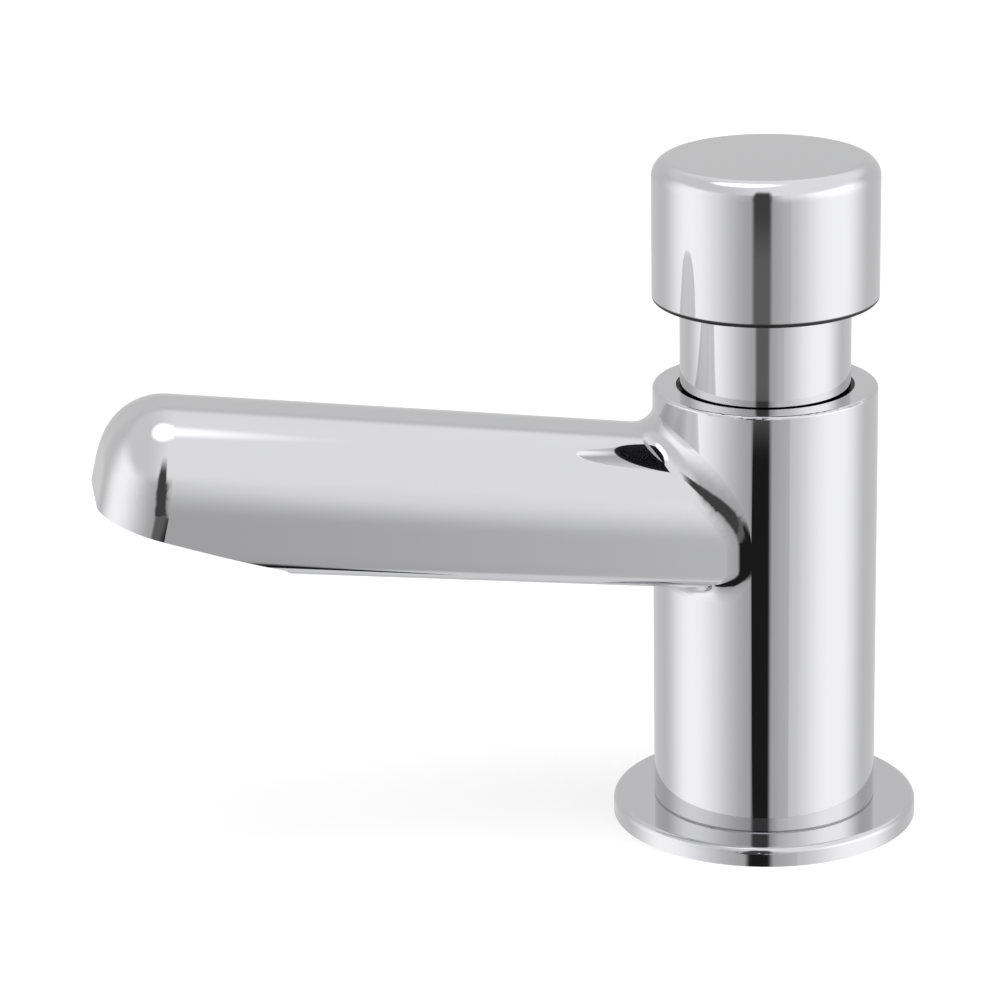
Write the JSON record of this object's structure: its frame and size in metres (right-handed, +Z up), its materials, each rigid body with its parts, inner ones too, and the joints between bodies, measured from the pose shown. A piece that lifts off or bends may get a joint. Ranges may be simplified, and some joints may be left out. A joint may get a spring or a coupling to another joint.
{
  "type": "automatic basin tap",
  "caption": "Self-closing push-button basin tap: straight spout cast in one with a round column, wide push cap on a polished neck, and a threaded shank under a flange.",
  "frame": {"origin": "on the column's axis, in the plane where the flange and its gasket meet the basin deck", "axes": "+Z up along the column's axis, spout along -Y, +X across the spout"},
  "size_m": [0.0549, 0.1468, 0.1783],
  "materials": {
    "chrome": "polished chrome plate on brass",
    "brass": "turned and left bare",
    "stainless": "turned or pressed stainless steel",
    "rubber": "matt black",
    "white_plastic": "moulded",
    "black_plastic": "moulded",
    "red_fibre": "pressed fibre"
  },
  "bodies": {
    "tap_body": {"body_spout_casting": "chrome", "base_flange": "chrome", "base_gasket": "rubber", "threaded_shank": "brass", "shank_seal_washer": "red_fibre", "deck_rubber_washer": "rubber", "deck_steel_washer": "stainless", "backnut": "brass", "inlet_strainer": "stainless", "flow_regulator": "white_plastic", "cartridge_housing": "brass", "housing_lower_o_ring": "rubber", "housing_upper_o_ring": "rubber", "valve_seat_bush": "brass", "seat_o_ring": "rubber", "cartridge_head": "brass", "head_o_ring": "rubber", "spindle_guide_bush": "white_plastic", "spindle_o_ring": "rubber", "neck_guide_ring": "black_plastic", "return_spring": "stainless", "aerator_housing": "chrome", "aerator_insert": "white_plastic", "aerator_mesh": "stainless", "aerator_seal": "rubber"},
    "plunger": {"spindle": "stainless", "piston": "brass", "piston_lip_seal": "rubber", "piston_clip": "stainless", "valve_cup": "brass", "valve_washer": "rubber", "valve_nut": "brass", "thrust_washer": "stainless", "spindle_clip": "stainless"},
    "button": {"push_cap": "chrome", "neck_sleeve": "chrome", "cap_bush": "white_plastic", "cap_o_ring": "rubber"}
  },
  "joints": [
    {"name": "button_press", "type": "slide", "parent": "tap_body", "child": "plunger", "axis": [0, 0, -1], "range_m": [0, 0.009], "stiffness_N_per_m": 1400, "springref_m": -0.009, "deforming": ["return_spring"]},
    {"name": "cap_turn", "type": "hinge", "parent": "plunger", "child": "button", "pos_m": [0, 0, 0.099], "axis": [0, 0, 1], "continuous": true}
  ]
}
